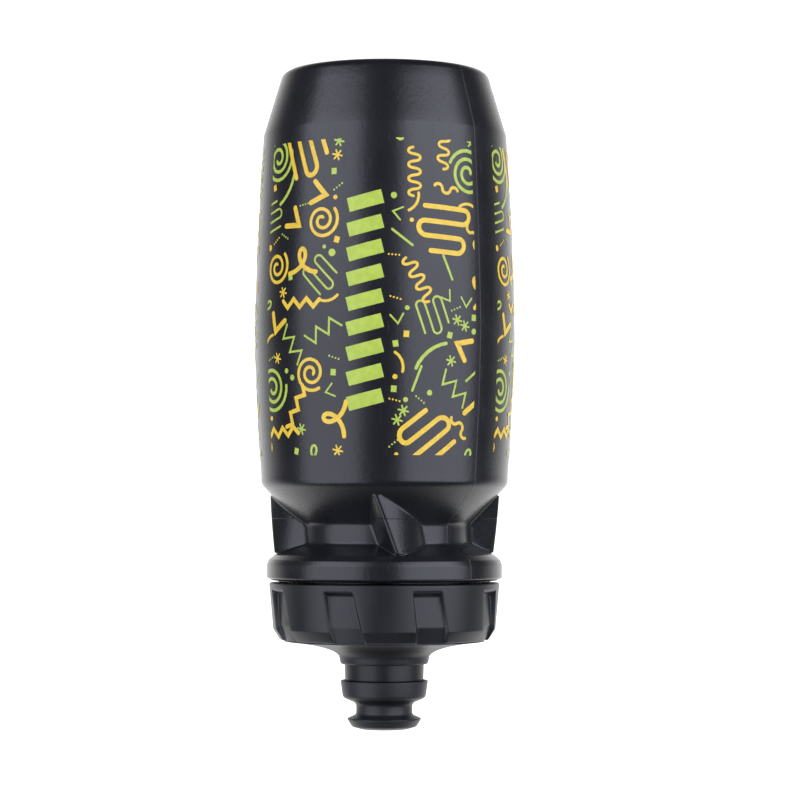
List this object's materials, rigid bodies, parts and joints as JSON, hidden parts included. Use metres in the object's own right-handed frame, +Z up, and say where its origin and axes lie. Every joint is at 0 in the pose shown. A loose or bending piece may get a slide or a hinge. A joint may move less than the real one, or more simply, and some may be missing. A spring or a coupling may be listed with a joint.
{
  "type": "bicycle water bottle",
  "caption": "Squeezable round drinking bottle with a ribbed waist, a ridged screw cap and a push-pull drinking valve, made to sit in a bicycle's bottle cage.",
  "frame": {"origin": "middle of the base, on the surface the bottle stands on", "axes": "+Z up the bottle's axis to the mouthpiece; -Y is the front, where one rib of the waist is"},
  "size_m": [0.0764, 0.0764, 0.1923],
  "materials": {
    "body_plastic": "satin black polyethylene with printed ink marks",
    "cap_plastic": "smooth black polypropylene",
    "soft_skin": "matt black soft-touch elastomer",
    "gasket": "matt pale silicone",
    "valve_plastic": "satin black plastic"
  },
  "bodies": {
    "bottle": {"bottle_body": "body_plastic"},
    "cap_carrier": {"cap_gasket": "gasket"},
    "cap": {"screw_cap": "cap_plastic", "cap_dome": "soft_skin", "nozzle_post": "valve_plastic"},
    "valve": {"valve_core": "valve_plastic", "mouthpiece": "soft_skin"}
  },
  "joints": [
    {"name": "cap_rise", "type": "slide", "parent": "bottle", "child": "cap_carrier", "axis": [0, 0, 1], "range_m": [0, 0.006]},
    {"name": "cap_turn", "type": "hinge", "parent": "cap_carrier", "child": "cap", "pos_m": [0, 0, 0.158], "axis": [0, 0, 1], "range_deg": [0, 540]},
    {"name": "valve_pull", "type": "slide", "parent": "cap", "child": "valve", "axis": [0, 0, 1], "range_m": [-0.0038, 0]}
  ],
  "couplings": [
    {"joint": "cap_rise", "follows": "cap_turn", "m_per_rad": 0.00063662}
  ]
}
